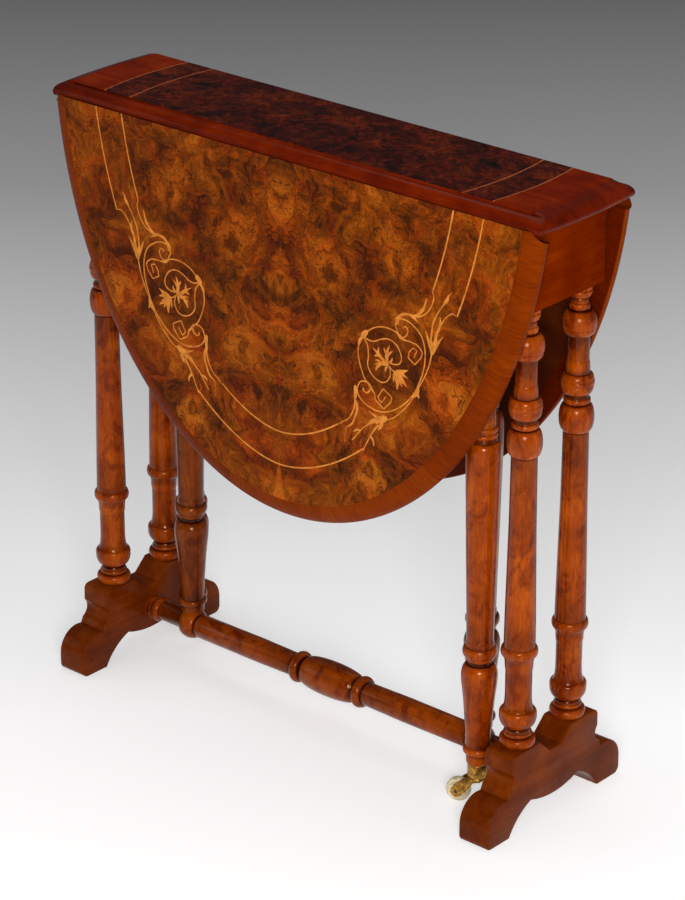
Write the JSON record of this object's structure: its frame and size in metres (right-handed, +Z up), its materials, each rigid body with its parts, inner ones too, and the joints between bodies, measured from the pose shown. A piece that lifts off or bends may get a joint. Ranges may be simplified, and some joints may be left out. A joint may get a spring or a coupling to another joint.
{
  "type": "sutherland table",
  "caption": "Narrow oval drop-leaf table on turned trestle ends, with hinged leaves on rule joints and swinging gate legs on casters.",
  "frame": {"origin": "on the floor, under the centre of the table top", "axes": "+Z up, +X along the fixed top and the stretcher, -Y towards the front leaf"},
  "size_m": [0.682, 0.231, 0.7],
  "materials": {
    "walnut": "French-polished solid walnut, red-brown, glossy, straight fine grain",
    "walnut_dark": "French-polished solid walnut edging, dark red-brown, glossy",
    "walnut_plain": "unpolished or thinly polished secondary wood seen from below",
    "burr_veneer": "book-matched burr walnut veneer, swirling figure, high polish",
    "end_veneer": "straight-grained walnut veneer, high polish",
    "boxwood": "boxwood stringing let into the veneer, polished over",
    "brass": "old brass, lightly tarnished",
    "iron": "dark wrought iron pins and screws",
    "ceramic": null
  },
  "bodies": {
    "frame": {"top_board": "walnut_dark", "top_edging_left": "walnut_dark", "top_edging_right": "walnut_dark", "top_burr_veneer": "burr_veneer", "top_end_veneers": "end_veneer", "top_stringing": "boxwood", "end_rail_left": "walnut", "end_rail_right": "walnut", "long_bearer": "walnut_plain", "glue_blocks": "walnut_plain", "block_screws": "iron", "foot_left": "walnut", "foot_right": "walnut", "column_front_left": "walnut", "column_back_left": "walnut", "column_front_right": "walnut", "column_back_right": "walnut", "stretcher": "walnut", "pivot_pins_front": "iron", "pivot_pins_back": "iron", "pivot_washers": "brass", "top_flaps_front": "brass", "top_flaps_back": "brass", "top_flap_screws_front": "brass", "top_flap_screws_back": "brass", "hinge_pins_front": "iron", "hinge_pins_back": "iron"},
    "leaf_front": {"leaf_board_front": "walnut_plain", "leaf_edging_front": "walnut_dark", "leaf_veneer_front": "burr_veneer", "leaf_stringing_front": "boxwood", "leaf_flaps_front": "brass", "leaf_flap_screws_front": "brass", "leaf_stop_front": "walnut_plain"},
    "leaf_back": {"leaf_board_back": "walnut_plain", "leaf_edging_back": "walnut_dark", "leaf_veneer_back": "burr_veneer", "leaf_stringing_back": "boxwood", "leaf_flaps_back": "brass", "leaf_flap_screws_back": "brass", "leaf_stop_back": "walnut_plain"},
    "gate_front": {"gate_post_front": "walnut", "gate_rail_front": "walnut", "gate_leg_front": "walnut", "caster_socket_front": "brass"},
    "caster_front": {"caster_horn_front": "brass", "caster_axle_front": "iron"},
    "wheel_front": {"caster_wheel_front": "ceramic"},
    "gate_back": {"gate_post_back": "walnut", "gate_rail_back": "walnut", "gate_leg_back": "walnut", "caster_socket_back": "brass"},
    "caster_back": {"caster_horn_back": "brass", "caster_axle_back": "iron"},
    "wheel_back": {"caster_wheel_back": "ceramic"}
  },
  "joints": [
    {"name": "leaf_hinge_front", "type": "hinge", "parent": "frame", "child": "leaf_front", "pos_m": [0, -0.065, 0.685], "axis": [-1, 0, 0], "range_deg": [-1, 89]},
    {"name": "leaf_hinge_back", "type": "hinge", "parent": "frame", "child": "leaf_back", "pos_m": [0, 0.065, 0.685], "axis": [1, 0, 0], "range_deg": [-1, 89]},
    {"name": "gate_pivot_front", "type": "hinge", "parent": "frame", "child": "gate_front", "pos_m": [-0.213, 0, 0.3], "axis": [0, 0, -1], "range_deg": [-0.6, 0.4]},
    {"name": "caster_swivel_front", "type": "hinge", "parent": "gate_front", "child": "caster_front", "pos_m": [0.242, -0.04, 0.03], "axis": [0, 0, 1], "continuous": true},
    {"name": "wheel_spin_front", "type": "hinge", "parent": "caster_front", "child": "wheel_front", "pos_m": [0.22214, -0.04684, 0.0135], "axis": [0.3256, -0.9455, 0], "continuous": true},
    {"name": "gate_pivot_back", "type": "hinge", "parent": "frame", "child": "gate_back", "pos_m": [0.213, 0, 0.3], "axis": [0, 0, -1], "range_deg": [-0.08, 1.4]},
    {"name": "caster_swivel_back", "type": "hinge", "parent": "gate_back", "child": "caster_back", "pos_m": [-0.24263, 0.03205, 0.03], "axis": [0, 0, 1], "continuous": true},
    {"name": "wheel_spin_back", "type": "hinge", "parent": "caster_back", "child": "wheel_back", "pos_m": [-0.24263, 0.05305, 0.0135], "axis": [-1, 0, 0], "continuous": true}
  ]
}
